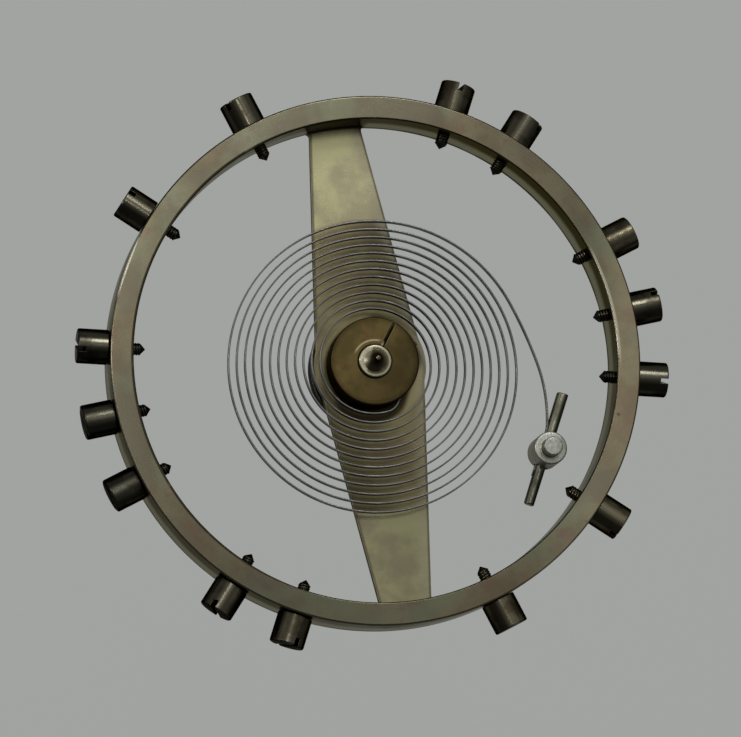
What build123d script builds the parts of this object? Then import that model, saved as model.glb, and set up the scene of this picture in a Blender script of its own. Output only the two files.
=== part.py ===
from build123d import *
from math import atan2, cos, degrees, hypot, radians, sin, sqrt
import os

os.makedirs("parts", exist_ok=True)

# Balance wheel of a large pocket watch: a rim and crossbar in one piece, fourteen rim screws, the
# staff with its rollers and impulse jewel, the collet, the flat hairspring, and the stud and pin
# that hold the spring's outer end. Lengths are in millimetres and angles in degrees.
# The origin is the tip of the lower pivot, +Z runs up the staff to the hairspring side, and +Y
# runs along the crossbar. Angles are counted from +X, as seen from the hairspring side.

# Fits
push_clearance = 0.01       # round a piece that is pushed or screwed into its hole
strip_clearance = 0.005     # each side of the spring where a pin wedges it
cut_overrun = 0.20          # how far every cutting tool runs past the piece

# Rim and crossbar
rim_radius = 8.00
rim_width = 0.70
rim_height = 1.60
rim_bevel = 0.045
crossbar_thickness = 0.25
crossbar_width_at_staff = 3.30
crossbar_width_at_rim = 1.54
crossbar_boss_spread = 0.05  # of the round boss past the crossbar
crossbar_root_fillet = 0.12

# Rim screws
screw_head_radius = 0.525
screw_head_length = 0.93
screw_slot_width = 0.15
screw_slot_depth = 0.24
screw_shank_radius = 0.19
screw_tip_length = 0.42     # how far the end stands inside the rim
screw_point_length = 0.16
screw_place_count = 24      # round the rim, of which the shares below are in use
screw_row_turn = -3.1       # from the crossbar to the middle of the screw holes' pattern
screw_step_shares = (1.5, -1.5, -2.5, -4.5, -5.5, -6.5, -8.5)
slot_turn_angle = 47.0

# Staff, from the lower pivot up
pivot_radius = 0.07
pivot_end_bevel = 0.012
lower_pivot_length = 0.32
lower_cone_height = 0.50
lower_arbor_height = 0.88
roller_seat_radius = 0.38
roller_seat_step = 0.08     # from the seat down to the thinner arbor below it
roller_seat_lead = 0.10     # of the seat below the safety roller
flange_radius = 1.30
flange_thickness = 0.405
rivet_seat_radius = 0.80
rivet_lip_spread = 0.17     # over the crossbar
rivet_lip_height = 0.10
collet_seat_radius = 0.50
collet_seat_rise = 0.10     # above the collet's top
collet_seat_bevel = 0.06
upper_cone_ledge = 0.10     # between the collet seat's bevel and the upper cone
upper_cone_height = 0.30
upper_pivot_length = 0.30
pivot_cone_hollow = 0.03    # how deep both cones curve in

# Rollers and impulse jewel
table_radius = 1.75
table_thickness = 0.42
table_bevel = 0.05
table_hub_radius = 0.72
table_hub_height = 0.55
safety_roller_radius = 0.98
safety_roller_thickness = 0.40
crescent_radius = 0.27
jewel_radius = 0.25
jewel_flat_depth = 0.13
jewel_wall = 0.31           # of the table, outside the jewel's flat
jewel_end_gap = 0.05        # above the safety roller
jewel_angle = 0.0

# Collet
collet_radius = 1.34
collet_height = 0.80
collet_bevel = 0.06
collet_gap = 0.02           # above the rivet lip
collet_slit_width = 0.11
collet_slit_turn = 170.1    # from the cross hole's direction
collet_hole_radius = 0.14
collet_hole_wall = 0.15     # outside the cross hole
collet_pin_overhang = 0.13

# Hairspring: a flat strip, wound outwards clockwise
strip_height = 0.20
strip_thickness = 0.05
strip_overhang = 0.30       # of each end past its pin's hole
spring_pitch = 0.256
spring_collet_gap = 0.19    # from the collet to the first coil
spring_stud_gap = 0.80      # from the last even coil to the stud
spring_outer_shift = 0.18   # how far the outer coils lie off the staff's axis
outer_end_sweep = 133.9     # angle from the end of the even coils to the stud
outer_end_spread = 0.226    # how much wider than the last even coil the outer end begins
outer_end_turn = 78.5
collet_elbow_radius = 0.45
stud_elbow_radius = 0.90
stud_elbow_turn = 15.5
stud_elbow_gap = 0.08       # between the elbow and the stud

# Stud and its pin
stud_angle = 325.1
stud_tip_gap = 0.55         # from the stud to the circle on which the screws' ends turn
stud_hole_turn = 8.8        # of the cross hole, out of square to the stud's radius
stud_body_radius = 0.50
stud_body_height = 1.25
stud_bevel = 0.06
stud_hole_radius = 0.22
stud_hole_height = 0.30     # above the stud's lower end
stud_foot_radius = 0.29
stud_foot_length = 0.45
stud_pin_ease = 0.015       # of the pin's thick end in the cross hole
stud_pin_taper = 0.04       # from the thick end's radius to the thin end's
stud_pin_head_reach = 1.86  # on the side that the spring comes from
stud_pin_end_reach = 1.68

# Sizes that follow from those above
rim_inner_radius = rim_radius - rim_width
crossbar_boss_radius = crossbar_width_at_staff / 2 + crossbar_boss_spread
lower_arbor_radius = roller_seat_radius - roller_seat_step
rivet_lip_radius = rivet_seat_radius + rivet_lip_spread
upper_cone_radius = collet_seat_radius - collet_seat_bevel - upper_cone_ledge
jewel_place_radius = table_radius - jewel_wall - jewel_radius + jewel_flat_depth
jewel_reach = table_hub_height - jewel_end_gap
collet_hole_offset = collet_radius - collet_hole_wall - collet_hole_radius
stud_place_radius = rim_inner_radius - screw_tip_length - stud_tip_gap - stud_body_radius
spring_first_radius = collet_radius + spring_collet_gap
spring_last_radius = stud_place_radius - stud_body_radius - spring_stud_gap
spring_half_turns = int((spring_last_radius - spring_first_radius) / (spring_pitch / 2))
stud_pin_head_radius = stud_hole_radius - stud_pin_ease
stud_pin_end_radius = stud_pin_head_radius - stud_pin_taper

# Heights that follow from the sizes above
roller_seat_bottom = lower_pivot_length + lower_cone_height + lower_arbor_height
safety_roller_bottom = roller_seat_bottom + roller_seat_lead
table_hub_bottom = safety_roller_bottom + safety_roller_thickness
table_bottom = table_hub_bottom + table_hub_height
table_top = table_bottom + table_thickness
crossbar_bottom = table_top + flange_thickness
crossbar_top = crossbar_bottom + crossbar_thickness
rim_middle = crossbar_bottom + rim_height / 2
collet_bottom = crossbar_top + rivet_lip_height + collet_gap
collet_top = collet_bottom + collet_height
collet_seat_top = collet_top + collet_seat_rise
upper_pivot_base = collet_seat_top + upper_cone_height
staff_top = upper_pivot_base + upper_pivot_length
spring_height = rim_middle


def direction(angle):
    """The level unit vector at an angle."""
    return Vector(cos(radians(angle)), sin(radians(angle)), 0)


def raised(place, height):
    """The point at a height above a level place."""
    return place + Vector(0, 0, height)


def turned_plane(angle, radius, height):
    """A plane that faces outwards at a place on a circle round the staff, with its X upwards."""
    outwards = direction(angle)
    return Plane(origin=raised(outwards * radius, height), x_dir=(0, 0, 1), z_dir=outwards)


# Places of the rim screws, two opposite each other for every share in the table
screw_angles = [
    90 + screw_row_turn + share * 360 / screw_place_count + side
    for side in (0, 180)
    for share in screw_step_shares
]

# Rim and crossbar, turned and pierced from one blank
with BuildPart() as balance_rim:
    with BuildSketch(Plane.XZ):
        with Locations(((rim_inner_radius + rim_radius) / 2, rim_middle)):
            Rectangle(rim_width, rim_height)
        chamfer(vertices().sort_by(Axis.Y)[2:], rim_bevel)
    revolve(axis=Axis.Z)
    with BuildSketch(Plane.XY.offset(crossbar_bottom)):
        Circle((rim_inner_radius + rim_radius) / 2)
        Circle(rim_inner_radius, mode=Mode.SUBTRACT)
        for side in (1, -1):
            with BuildLine():
                Polyline(
                    (-crossbar_width_at_staff / 2, 0),
                    (crossbar_width_at_staff / 2, 0),
                    (crossbar_width_at_rim / 2, side * rim_inner_radius),
                    (crossbar_width_at_rim / 2, side * (rim_inner_radius + rim_width / 4)),
                    (-crossbar_width_at_rim / 2, side * (rim_inner_radius + rim_width / 4)),
                    (-crossbar_width_at_rim / 2, side * rim_inner_radius),
                    close=True,
                )
            make_face()
        beyond_boss = vertices().filter_by(lambda place: hypot(place.X, place.Y) > crossbar_boss_radius)
        roots = beyond_boss.filter_by(lambda place: hypot(place.X, place.Y) < rim_inner_radius + rim_bevel)
        fillet(roots, crossbar_root_fillet)
        Circle(crossbar_boss_radius)
        Circle(rivet_seat_radius + push_clearance, mode=Mode.SUBTRACT)
    extrude(amount=crossbar_thickness)
    for angle in screw_angles:
        with BuildSketch(turned_plane(angle, rim_radius + cut_overrun, rim_middle)):
            Circle(screw_shank_radius + push_clearance)
        extrude(amount=-rim_width - 2 * cut_overrun, mode=Mode.SUBTRACT)
balance_rim.part.label = "balance_rim"
export_step(balance_rim.part, "parts/balance_rim.step")

# Rim screws: a plain slotted head, a shank through the rim, and a pointed end inside it
for number, angle in enumerate(screw_angles, start=1):
    seat = turned_plane(angle, rim_radius, rim_middle)
    with BuildPart() as rim_screw:
        with BuildSketch(Plane(origin=seat.origin, x_dir=seat.z_dir, z_dir=(0, 0, 1))):
            with BuildLine():
                Polyline(
                    (-rim_width - screw_tip_length, 0),
                    (-rim_width - screw_tip_length + screw_point_length, screw_shank_radius),
                    (0, screw_shank_radius),
                    (0, screw_head_radius),
                    (screw_head_length, screw_head_radius),
                    (screw_head_length, 0),
                    close=True,
                )
            make_face()
        revolve(axis=Axis(seat.origin, seat.z_dir))
        with BuildSketch(seat.offset(screw_head_length)):
            slot_length = 2 * screw_head_radius + cut_overrun
            Rectangle(slot_length, screw_slot_width, rotation=number * slot_turn_angle)
        extrude(amount=-screw_slot_depth, mode=Mode.SUBTRACT)
    name = f"rim_screw_{number:02d}"
    rim_screw.part.label = name
    export_step(rim_screw.part, f"parts/{name}.step")

# Staff: hollow cones run into both pivots, and the lip above the crossbar is riveted over it
with BuildPart() as balance_staff:
    with BuildSketch(Plane.XZ):
        with BuildLine():
            Polyline(
                (0, 0),
                (pivot_radius - pivot_end_bevel, 0),
                (pivot_radius, pivot_end_bevel),
                (pivot_radius, lower_pivot_length),
            )
            SagittaArc(
                (pivot_radius, lower_pivot_length),
                (lower_arbor_radius, lower_pivot_length + lower_cone_height),
                pivot_cone_hollow,
            )
            Polyline(
                (lower_arbor_radius, lower_pivot_length + lower_cone_height),
                (lower_arbor_radius, roller_seat_bottom),
                (roller_seat_radius, roller_seat_bottom),
                (roller_seat_radius, table_top),
                (flange_radius, table_top),
                (flange_radius, crossbar_bottom),
                (rivet_seat_radius, crossbar_bottom),
                (rivet_seat_radius, crossbar_top),
                (rivet_lip_radius, crossbar_top),
                (rivet_seat_radius, crossbar_top + rivet_lip_height),
                (collet_seat_radius, crossbar_top + rivet_lip_height),
                (collet_seat_radius, collet_seat_top - collet_seat_bevel),
                (collet_seat_radius - collet_seat_bevel, collet_seat_top),
                (upper_cone_radius, collet_seat_top),
            )
            SagittaArc(
                (upper_cone_radius, collet_seat_top),
                (pivot_radius, upper_pivot_base),
                pivot_cone_hollow,
            )
            Polyline(
                (pivot_radius, upper_pivot_base),
                (pivot_radius, staff_top - pivot_end_bevel),
                (pivot_radius - pivot_end_bevel, staff_top),
                (0, staff_top),
                (0, 0),
            )
        make_face()
    revolve(axis=Axis.Z)
balance_staff.part.label = "balance_staff"
export_step(balance_staff.part, "parts/balance_staff.step")

# Roller table, with the hole that holds the impulse jewel
jewel_place = direction(jewel_angle) * jewel_place_radius


def jewel_outline(spare):
    """The jewel's D-shaped outline, its flat turned outwards, grown all round by a clearance."""
    flat_place = jewel_radius - jewel_flat_depth + spare
    Circle(jewel_radius + spare)
    with Locations((flat_place + jewel_radius, 0)):
        Rectangle(2 * jewel_radius, 4 * jewel_radius, mode=Mode.SUBTRACT)


with BuildPart() as roller_table:
    with BuildSketch(Plane.XZ):
        with BuildLine():
            Polyline(
                (roller_seat_radius + push_clearance, table_hub_bottom),
                (table_hub_radius, table_hub_bottom),
                (table_hub_radius, table_bottom),
                (table_radius - table_bevel, table_bottom),
                (table_radius, table_bottom + table_bevel),
                (table_radius, table_top),
                (roller_seat_radius + push_clearance, table_top),
                close=True,
            )
        make_face()
    revolve(axis=Axis.Z)
    with BuildSketch(Plane(origin=raised(jewel_place, table_bottom - cut_overrun), x_dir=jewel_place)):
        jewel_outline(push_clearance)
    extrude(amount=table_thickness + 2 * cut_overrun, mode=Mode.SUBTRACT)
roller_table.part.label = "roller_table"
export_step(roller_table.part, "parts/roller_table.step")

# Safety roller, with the crescent that lets the lever's guard pass below the jewel
with BuildPart() as safety_roller:
    with BuildSketch(Plane.XY.offset(safety_roller_bottom)):
        Circle(safety_roller_radius)
        Circle(roller_seat_radius + push_clearance, mode=Mode.SUBTRACT)
        with Locations(direction(jewel_angle) * safety_roller_radius):
            Circle(crescent_radius, mode=Mode.SUBTRACT)
    extrude(amount=safety_roller_thickness)
safety_roller.part.label = "safety_roller"
export_step(safety_roller.part, "parts/safety_roller.step")

# Impulse jewel, set flush with the top of the table
with BuildPart() as impulse_jewel:
    with BuildSketch(Plane(origin=raised(jewel_place, table_bottom - jewel_reach), x_dir=jewel_place)):
        jewel_outline(0)
    extrude(amount=jewel_reach + table_thickness)
impulse_jewel.part.label = "impulse_jewel"
export_step(impulse_jewel.part, "parts/impulse_jewel.step")

# Where the strip lies in each pin's hole: against the wall, with the pin's flat on its other side
strip_seat_depth = strip_thickness / 2 + strip_clearance
collet_strip_offset = sqrt(collet_hole_radius**2 - (strip_height / 2) ** 2) - strip_seat_depth
stud_strip_offset = sqrt(stud_hole_radius**2 - (strip_height / 2) ** 2) - strip_seat_depth

# The spring's inner end: straight through the collet, then an elbow that meets the first coil
spring_end_angle = stud_angle + outer_end_sweep
first_angle = spring_end_angle + 180 * spring_half_turns
elbow_rise = collet_hole_offset - collet_elbow_radius
elbow_run = sqrt((spring_first_radius - collet_elbow_radius) ** 2 - elbow_rise**2)
elbow_angle = degrees(atan2(elbow_rise, elbow_run))
collet_hole_angle = first_angle - elbow_angle
collet_hole_way = direction(collet_hole_angle)
collet_hole_side = direction(collet_hole_angle + 90)
collet_half_chord = sqrt(collet_radius**2 - collet_hole_offset**2)
collet_line = raised(collet_hole_side * collet_hole_offset, spring_height)

# The spring's outer end: one elbow before the stud, then straight through it
stud_centre = direction(stud_angle) * stud_place_radius
stud_hole_side = direction(stud_angle + stud_hole_turn)
stud_hole_way = direction(stud_angle + stud_hole_turn - 90)
stud_line = raised(stud_centre - stud_hole_side * stud_strip_offset, spring_height)
stud_elbow_end = stud_line - stud_hole_way * (stud_body_radius + stud_elbow_gap)
stud_elbow_side = direction(stud_angle + stud_hole_turn + stud_elbow_turn)
stud_elbow_way = direction(stud_angle + stud_hole_turn + stud_elbow_turn - 90)
stud_elbow_start = stud_elbow_end + (stud_elbow_side - stud_hole_side) * stud_elbow_radius


def biarc_joint(start, start_way, end, end_way):
    """The point where two arcs meet that lead from one point and direction to another."""
    chord = end - start
    ways = start_way + end_way
    spread = 2 * (1 - start_way.dot(end_way))
    reach = (-chord.dot(ways) + sqrt(chord.dot(ways) ** 2 + spread * chord.dot(chord))) / spread
    return (start + end + (start_way - end_way) * reach) * 0.5


# Hairspring: half turns, each tangent to the one before, whose centres all lie on one line
# through the staff's axis, so that the coils grow by the pitch and drift off centre by the shift
with BuildPart() as hairspring:
    with BuildLine() as spring_route:
        run = Line(
            collet_line - collet_hole_way * (collet_half_chord + strip_overhang / 2),
            collet_line + collet_hole_way * elbow_run,
        )
        run = JernArc(run @ 1, collet_hole_way, collet_elbow_radius, elbow_angle - 90)
        drift = spring_outer_shift / spring_half_turns
        for half_turn in range(spring_half_turns):
            even_radius = spring_first_radius + spring_pitch * (2 * half_turn + 1) / 4
            drift_side = 1 if (spring_half_turns - half_turn) % 2 == 0 else -1
            run = JernArc(run @ 1, run % 1, even_radius + drift_side * drift / 2, -180)
        run = JernArc(run @ 1, run % 1, even_radius + outer_end_spread, -outer_end_turn)
        outer_end_start = run @ 1
        outer_end_way = direction(spring_end_angle - 90 - outer_end_turn)
        joint = biarc_joint(outer_end_start, outer_end_way, stud_elbow_start, stud_elbow_way)
        run = TangentArc(outer_end_start, joint, tangent=outer_end_way)
        run = TangentArc(joint, stud_elbow_start, tangent=run % 1)
        run = JernArc(stud_elbow_start, stud_elbow_way, stud_elbow_radius, -stud_elbow_turn)
        Line(stud_elbow_end, stud_line + stud_hole_way * (stud_body_radius + strip_overhang))
    with BuildSketch(Plane(origin=spring_route.wire() @ 0, x_dir=(0, 0, 1), z_dir=collet_hole_way)):
        Rectangle(strip_height, strip_thickness)
    sweep(path=spring_route.wire())
hairspring.part.label = "hairspring"
export_step(hairspring.part, "parts/hairspring.step")


def least_gap(wire, step, apart):
    """The least gap between two turns of the strip, measured on points a step apart on its route."""
    count = round(wire.length / step)
    points = [(place.X, place.Y) for place in (wire @ (number / count) for number in range(count + 1))]
    first_ahead = round(apart / step)
    distances = (
        hypot(ahead[0] - point[0], ahead[1] - point[1])
        for number, point in enumerate(points)
        for ahead in points[number + first_ahead :]
    )
    return min(distances) - strip_thickness


spring_length = spring_route.wire().length
strip_volume = strip_height * strip_thickness * spring_length
print("hairspring length", round(spring_length, 2), "mm")
spring_gap = least_gap(spring_route.wire(), 2 * strip_thickness, 2 * collet_radius)
print("hairspring least gap", round(spring_gap, 3), "mm")
print("hairspring volume over section times length", round(hairspring.part.volume / strip_volume, 6))

# Collet: a slit ring that grips the staff, with a cross hole for the spring and its pin
collet_hole_plane = Plane(
    origin=collet_line - collet_hole_side * collet_strip_offset,
    x_dir=collet_hole_side,
    z_dir=collet_hole_way,
)
with BuildPart() as collet:
    with BuildSketch(Plane.XZ):
        with BuildLine():
            Polyline(
                (collet_seat_radius + push_clearance, collet_bottom),
                (collet_radius, collet_bottom),
                (collet_radius, collet_top - collet_bevel),
                (collet_radius - collet_bevel, collet_top),
                (collet_seat_radius + push_clearance, collet_top),
                close=True,
            )
        make_face()
    revolve(axis=Axis.Z)
    slit_way = direction(collet_hole_angle + collet_slit_turn)
    with BuildSketch(Plane(origin=(0, 0, collet_bottom - cut_overrun), x_dir=slit_way)):
        with Locations((collet_radius, 0)):
            Rectangle(2 * collet_radius, collet_slit_width)
    extrude(amount=collet_height + 2 * cut_overrun, mode=Mode.SUBTRACT)
    with BuildSketch(collet_hole_plane):
        Circle(collet_hole_radius)
    extrude(amount=collet_radius + cut_overrun, both=True, mode=Mode.SUBTRACT)
collet.part.label = "collet"
export_step(collet.part, "parts/collet.step")

# Collet pin: wedged beside the strip, a flat along its outer side
collet_pin_radius = collet_hole_radius - push_clearance
collet_pin_flat = collet_strip_offset - strip_seat_depth
with BuildPart() as collet_pin:
    with BuildSketch(collet_hole_plane.offset(elbow_run - strip_thickness)):
        Circle(collet_pin_radius)
        with Locations((collet_pin_flat + collet_pin_radius, 0)):
            Rectangle(2 * collet_pin_radius, 2 * collet_pin_radius, mode=Mode.SUBTRACT)
    extrude(amount=-elbow_run + strip_thickness - collet_half_chord - collet_pin_overhang)
collet_pin.part.label = "collet_pin"
export_step(collet_pin.part, "parts/collet_pin.step")

# Stud: a round post with a foot above it, and a cross hole near its lower end
stud_bottom = spring_height - stud_hole_height
stud_shoulder = stud_bottom + stud_body_height
stud_hole_plane = Plane(
    origin=raised(stud_centre, spring_height),
    x_dir=stud_hole_side,
    z_dir=stud_hole_way,
)
with BuildPart() as stud:
    with BuildSketch(Plane(origin=raised(stud_centre, stud_bottom))):
        Circle(stud_body_radius)
    extrude(amount=stud_body_height)
    with BuildSketch(Plane(origin=raised(stud_centre, stud_shoulder))):
        Circle(stud_foot_radius)
    extrude(amount=stud_foot_length)
    round_edges = edges().filter_by(GeomType.CIRCLE).sort_by(Axis.Z)
    chamfer([round_edges[0], round_edges[-1]], stud_bevel)
    with BuildSketch(stud_hole_plane):
        Circle(stud_hole_radius)
    extrude(amount=stud_body_radius + cut_overrun, both=True, mode=Mode.SUBTRACT)
stud.part.label = "stud"
export_step(stud.part, "parts/stud.step")

# Stud pin: a taper pin with a flat along its inner side, pushed in beside the strip
stud_pin_flat = stud_strip_offset - strip_seat_depth
stud_pin_ends = [(-stud_pin_head_reach, stud_pin_head_radius), (stud_pin_end_reach, stud_pin_end_radius)]
with BuildPart() as stud_pin:
    for place, radius in stud_pin_ends:
        with BuildSketch(stud_hole_plane.offset(place)):
            Circle(radius)
            with Locations((-stud_pin_flat - radius, 0)):
                Rectangle(2 * radius, 4 * radius, mode=Mode.SUBTRACT)
    loft(ruled=True)
stud_pin.part.label = "stud_pin"
export_step(stud_pin.part, "parts/stud_pin.step")
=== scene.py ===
"""The balance of a large pocket watch, dressed for a close view.

Lengths are in millimetres and angles in degrees, and each mesh turns into metres once its piece is
finished. The frame is the part's own: the tip of the lower pivot is the origin, the staff stands on
+Z and the crossbar runs along +Y. The main sizes are those of the part's source.
"""
from math import atan2, cos, degrees, pi, radians, sin, sqrt, tan, tau

import bmesh
import bpy
import numpy as np
from mathutils import Matrix, Vector


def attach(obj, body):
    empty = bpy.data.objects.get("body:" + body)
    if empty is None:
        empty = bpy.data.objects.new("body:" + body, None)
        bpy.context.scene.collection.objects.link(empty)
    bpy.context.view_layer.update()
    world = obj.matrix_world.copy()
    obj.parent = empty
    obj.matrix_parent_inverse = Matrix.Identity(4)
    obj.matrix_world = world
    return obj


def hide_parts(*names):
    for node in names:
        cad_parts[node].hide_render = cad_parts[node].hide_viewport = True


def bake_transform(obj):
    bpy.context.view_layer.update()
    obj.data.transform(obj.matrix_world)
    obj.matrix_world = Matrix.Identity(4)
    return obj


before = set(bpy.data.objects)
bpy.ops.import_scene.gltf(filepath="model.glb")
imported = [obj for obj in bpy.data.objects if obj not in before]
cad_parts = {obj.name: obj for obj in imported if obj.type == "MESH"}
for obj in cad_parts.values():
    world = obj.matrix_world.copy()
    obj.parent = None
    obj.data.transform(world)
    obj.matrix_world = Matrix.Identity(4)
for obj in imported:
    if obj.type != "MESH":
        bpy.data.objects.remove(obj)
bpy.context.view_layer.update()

MM = 0.001
clearance = 0.01            # round a piece that is pushed into its hole
overrun = 0.2               # how far a cutting tool runs past the piece

# Rim and crossbar
rim_radius = 8.00
rim_inner_radius = 7.30
rim_width = rim_radius - rim_inner_radius
rim_bottom, rim_top = 3.575, 5.175
crossbar_top = 3.825
crossbar_half_at_staff = 1.65
crossbar_half_at_rim = 0.77
crossbar_boss_radius = 1.70
crossbar_root_fillet = 0.12
crossbar_root_let_in = 0.012  # how far past the rim's wall each fillet ends, so that it cuts in cleanly
crossbar_end_let_in = 0.3
crossbar_foot_lift = 0.0005  # keeps the bar's foot and the rim's out of one plane
spring_height = (rim_bottom + rim_top) / 2
spring_level = Vector((0, 0, spring_height))

# Rim screws
screw_head_radius = 0.525
screw_head_length = 0.93
screw_slot_width = 0.15
screw_slot_depth = 0.24
screw_slot_turn = 47        # from one screw to the next
screw_shank_radius = 0.19
screw_tip_length = 0.42     # how far the end stands inside the rim
screw_point_length = 0.16
thread_pitch = 0.085
thread_depth = 0.022
thread_run_out = 0.04       # of the thread, inside the rim's hole
thread_least_share = 0.001  # of the thread's depth that is left where it has run out
screw_row_angle = 86.9
screw_step_angle = 15
screw_step_shares = (1.5, -1.5, -2.5, -4.5, -5.5, -6.5, -8.5)
screw_angles = [
    screw_row_angle + screw_step_angle * share + side for side in (0, 180) for share in screw_step_shares
]
screw_golden_shares = (0.5, 0.55, 0.4, 0.75, 0.25, 0.1, 0.9, 0.8, 0.55, 0.4, 0.1, 0.15, 0.1, 0.4)
screw_seed_step = 7.31      # gives each screw patches of its own

# Staff, from the lower pivot up
pivot_radius = 0.07
lower_pivot_top = 0.32
lower_cone_top = 0.82
arbor_radius = 0.30
roller_seat_bottom = 1.70
roller_seat_radius = 0.38
flange_radius = 1.30
rivet_seat_radius = 0.80
rivet_lip_radius = 0.97
rivet_crown_radius = 0.86
rivet_lip_top = 3.925
collet_seat_radius = 0.50
collet_seat_top = 4.845
upper_cone_radius = 0.34
upper_pivot_bottom = 5.145
staff_top = 5.445
cone_hollow = 0.03

# Rollers and impulse jewel
table_radius = 1.75
table_bottom, table_top = 2.75, 3.17
table_hub_radius = 0.72
table_hub_bottom = 2.20
safety_roller_radius = 0.98
safety_roller_bottom, safety_roller_top = 1.80, 2.195
crescent_radius = 0.27
jewel_place_radius = 1.32
jewel_radius, jewel_flat = 0.25, 0.12
jewel_bottom = 2.25

# Collet
collet_radius = 1.34
collet_bottom, collet_top = 3.945, 4.745
collet_slit_width = 0.11
collet_slit_turn = 170.1    # from the cross hole's direction
collet_hole_offset = 1.05
collet_hole_radius = 0.14
collet_strip_offset = 0.068
collet_pin_flat = 0.038

# Hairspring
strip_height, strip_thickness = 0.20, 0.05
strip_edge = 0.013
strip_overhang = 0.30
spring_first_radius = 1.53
spring_pitch = 0.256
spring_half_turns = 23
spring_outer_shift = 0.18
outer_end_spread = 0.226
outer_end_turn = 78.5
outer_end_sweep = 133.9     # from the end of the even coils to the stud
collet_elbow_radius = 0.45
stud_elbow_radius = 0.90
stud_elbow_turn = 15.5
stud_elbow_gap = 0.08

# Stud
stud_angle = 325.1
stud_place_radius = 5.83
stud_body_radius = 0.50
stud_bottom, stud_shoulder, stud_top = 4.075, 5.325, 5.775
stud_foot_radius = 0.29
stud_hole_radius = 0.22
stud_hole_angle = stud_angle + 8.8
stud_strip_offset = 0.166
stud_pin_flat = 0.136


def direction(angle, elevation=0):
    """The unit vector at an angle round the staff, and at an elevation."""
    level = cos(radians(elevation))
    return Vector((level * cos(radians(angle)), level * sin(radians(angle)), sin(radians(elevation))))


# Mesh tools


def placed(name, data):
    """An object of some data, in the scene."""
    made = bpy.data.objects.new(name, data)
    bpy.context.scene.collection.objects.link(made)
    return made


def eased(corners, segments=4):
    """A section's points with its corners rounded. Each corner is (x, y, radius)."""
    line = []
    for place, (x, y, radius) in enumerate(corners):
        corner = Vector((x, y))
        if not radius:
            line.append((x, y))
            continue
        to_before = (Vector(corners[place - 1][:2]) - corner).normalized()
        to_after = (Vector(corners[(place + 1) % len(corners)][:2]) - corner).normalized()
        half = to_before.angle(to_after) / 2
        centre = corner + (to_before + to_after).normalized() * radius / sin(half)
        start = corner + to_before * radius / tan(half) - centre
        end = corner + to_after * radius / tan(half) - centre
        line += round_points(centre, radius, start, end, segments)
    return line


def round_points(centre, radius, start, end, segments):
    """Points round a centre, the short way between two directions."""
    first = atan2(start.y, start.x)
    sweep = (atan2(end.y, end.x) - first + pi) % tau - pi
    turns = [first + sweep * step / segments for step in range(segments + 1)]
    return [(centre.x + radius * cos(turn), centre.y + radius * sin(turn)) for turn in turns]


def hollow(start, end, segments=10):
    """Points of a cone's shallow inward curve between two places, its ends left out."""
    (x0, y0), (x1, y1) = start, end
    length = sqrt((x1 - x0) ** 2 + (y1 - y0) ** 2)
    inward = Vector((-abs(y1 - y0), x1 - x0)) / length
    points = []
    for step in range(1, segments):
        share = step / segments
        sag = 4 * cone_hollow * share * (1 - share)
        points.append((x0 + (x1 - x0) * share + inward.x * sag, y0 + (y1 - y0) * share + inward.y * sag))
    return points


def closed_mesh(name, points, faces):
    """An object of a closed shell, its faces turned outwards."""
    mesh = bpy.data.meshes.new(name)
    mesh.from_pydata([tuple(point) for point in points], [], faces)
    work = bmesh.new()
    work.from_mesh(mesh)
    bmesh.ops.recalc_face_normals(work, faces=work.faces)
    work.to_mesh(mesh)
    work.free()
    return placed(name, mesh)


def turned(name, section, steps=256, ring=False):
    """A piece turned about Z from (radius, height) points. A ring's section closes on itself."""
    points, rows, faces = [], [], []
    round_trip = [(cos(tau * k / steps), sin(tau * k / steps)) for k in range(steps)]
    for radius, height in section:
        first = len(points)
        if radius:
            points += [(radius * x, radius * y, height) for x, y in round_trip]
            rows.append(range(first, first + steps))
        else:
            points.append((0, 0, height))
            rows.append([first] * steps)
    for lower, upper in zip(rows, [*rows[1:], rows[0]] if ring else rows[1:]):
        for k in range(steps):
            m = (k + 1) % steps
            corners = dict.fromkeys((lower[k], lower[m], upper[m], upper[k]))
            if len(corners) > 2:
                faces.append(tuple(corners))
    return closed_mesh(name, points, faces)


def drawn(name, sections):
    """A piece that runs through sections of equal count, closed with a flat face at each end."""
    count = len(sections[0])
    points = [point for section in sections for point in section]
    faces = [tuple(range(count)), tuple(range(len(points) - count, len(points)))]
    for row in range(len(sections) - 1):
        for k in range(count):
            m = (k + 1) % count
            faces.append((row * count + k, row * count + m, (row + 1) * count + m, (row + 1) * count + k))
    return closed_mesh(name, points, faces)


def plate(name, outline, bottom, top):
    """A flat plate of an outline between two heights."""
    return drawn(name, [[(x, y, z) for x, y in outline] for z in (bottom, top)])


def slot_tool(start, end, width, bottom, top, angle):
    """A straight tool from one distance to another along a level direction."""
    half = width / 2
    tool = plate("slot", [(start, -half), (end, -half), (end, half), (start, half)], bottom, top)
    tool.data.transform(Matrix.Rotation(radians(angle), 4, "Z"))
    return tool


def axis_matrix(place, way, side=(0, 0, 1)):
    """A frame at a place whose Z runs along way, and whose X lies along side."""
    z = Vector(way).normalized()
    y = z.cross(Vector(side)).normalized()
    return Matrix.Translation(Vector(place)) @ Matrix((y.cross(z), y, z)).transposed().to_4x4()


def rod(radius, start, end, steps):
    """A plain round tool from one place to another."""
    way = Vector(end) - Vector(start)
    tool = turned("rod", [(0, 0), (radius, 0), (radius, way.length), (0, way.length)], steps)
    tool.data.transform(axis_matrix(start, way, (1, 0, 0) if abs(way.normalized().z) > 0.9 else (0, 0, 1)))
    return tool


def settle(piece):
    """Makes a piece's modifiers part of its mesh."""
    view = bpy.context.evaluated_depsgraph_get()
    mesh = bpy.data.meshes.new_from_object(piece.evaluated_get(view))
    piece.modifiers.clear()
    piece.data = mesh


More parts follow.
